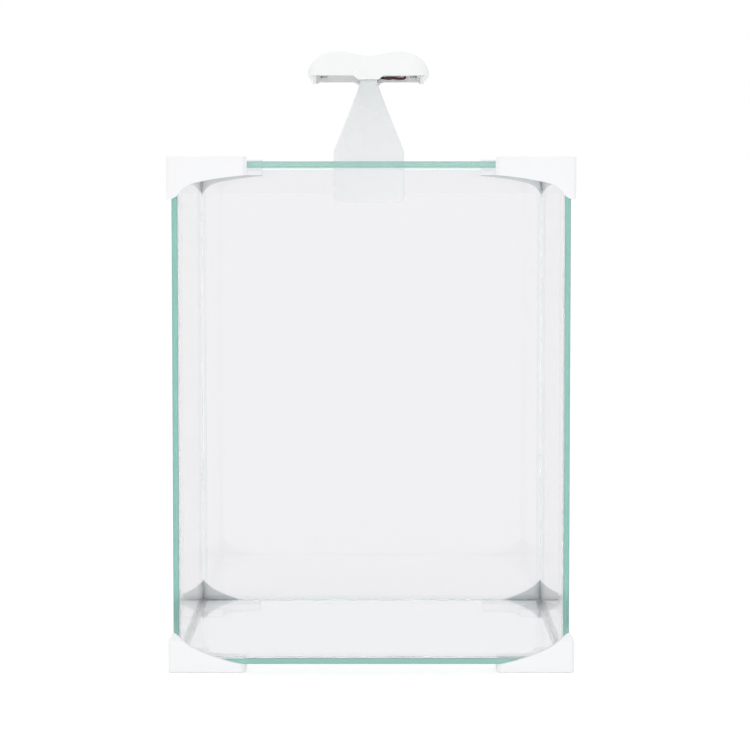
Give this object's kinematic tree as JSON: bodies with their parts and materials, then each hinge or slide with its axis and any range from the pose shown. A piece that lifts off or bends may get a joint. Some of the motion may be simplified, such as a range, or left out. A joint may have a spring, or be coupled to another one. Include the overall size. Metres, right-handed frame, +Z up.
{
  "type": "nano aquarium kit",
  "caption": "Small upright glass aquarium with white corner caps and feet, a loose cover glass, and a clip-on lamp with a saddle-shaped head.",
  "frame": {"origin": "centre of the whole object's footprint, on the surface that it stands on", "axes": "+Z up; -Y towards the viewer, out of the front pane; +X to the viewer's right"},
  "size_m": [0.205, 0.2222, 0.3159],
  "materials": {
    "clear_glass": "polished, with pale blue-green edges",
    "clear_silicone": "clear, smooth",
    "white_cap_plastic": "satin white moulding",
    "white_lamp_plastic": "smooth white moulding",
    "grey_white_plastic": "matt off-white moulding",
    "frosted_plastic": "frosted",
    "board": "white solder mask",
    "light_chip": "yellow phosphor",
    "screw_steel": "zinc plated",
    "grey_rubber": "matt",
    "insert_brass": "turned",
    "white_knob_plastic": "satin white moulding",
    "black_rubber": "matt",
    "red_insulation": "smooth",
    "dark_insulation": "smooth"
  },
  "bodies": {
    "tank": {"bottom_pane": "clear_glass", "left_pane": "clear_glass", "right_pane": "clear_glass", "front_pane": "clear_glass", "rear_pane": "clear_glass", "floor_seam": "clear_silicone", "corner_seam_front_left": "clear_silicone", "corner_seam_front_right": "clear_silicone", "corner_seam_rear_left": "clear_silicone", "corner_seam_rear_right": "clear_silicone", "top_cap_front_left": "white_cap_plastic", "top_cap_front_right": "white_cap_plastic", "top_cap_rear_left": "white_cap_plastic", "top_cap_rear_right": "white_cap_plastic", "bottom_cap_front_left": "white_cap_plastic", "bottom_cap_front_right": "white_cap_plastic", "bottom_cap_rear_left": "white_cap_plastic", "bottom_cap_rear_right": "white_cap_plastic"},
    "cover": {"cover_glass": "clear_glass"},
    "lamp": {"arm_front": "white_lamp_plastic", "arm_back": "white_lamp_plastic", "arm_screws": "screw_steel", "jaw_liner": "grey_rubber", "screw_insert": "insert_brass", "cable_gland": "black_rubber", "head_shell": "white_lamp_plastic", "head_frame": "grey_white_plastic", "head_screws": "screw_steel", "lens_cover": "frosted_plastic", "led_board": "board", "led_chips": "light_chip", "red_wire": "red_insulation", "black_wire": "dark_insulation"},
    "pad": {"pressure_pad": "grey_rubber"},
    "screw": {"clamp_screw": "white_knob_plastic"}
  },
  "joints": [
    {"name": "cover_lift", "type": "slide", "parent": "tank", "child": "cover", "axis": [0, 0, 1], "range_m": [0, 0.022]},
    {"name": "lamp_lift", "type": "slide", "parent": "tank", "child": "lamp", "axis": [0, 0, 1], "range_m": [0, 0.025]},
    {"name": "pad_slide", "type": "slide", "parent": "lamp", "child": "pad", "axis": [0, 1, 0], "range_m": [0, 0.002]},
    {"name": "screw_turn", "type": "hinge", "parent": "pad", "child": "screw", "pos_m": [-0.0016, 0.1, 0.2439], "axis": [0, 1, 0], "range_deg": [0, 720]}
  ],
  "couplings": [
    {"joint": "screw_turn", "follows": "pad_slide", "rad_per_m": 6280}
  ]
}
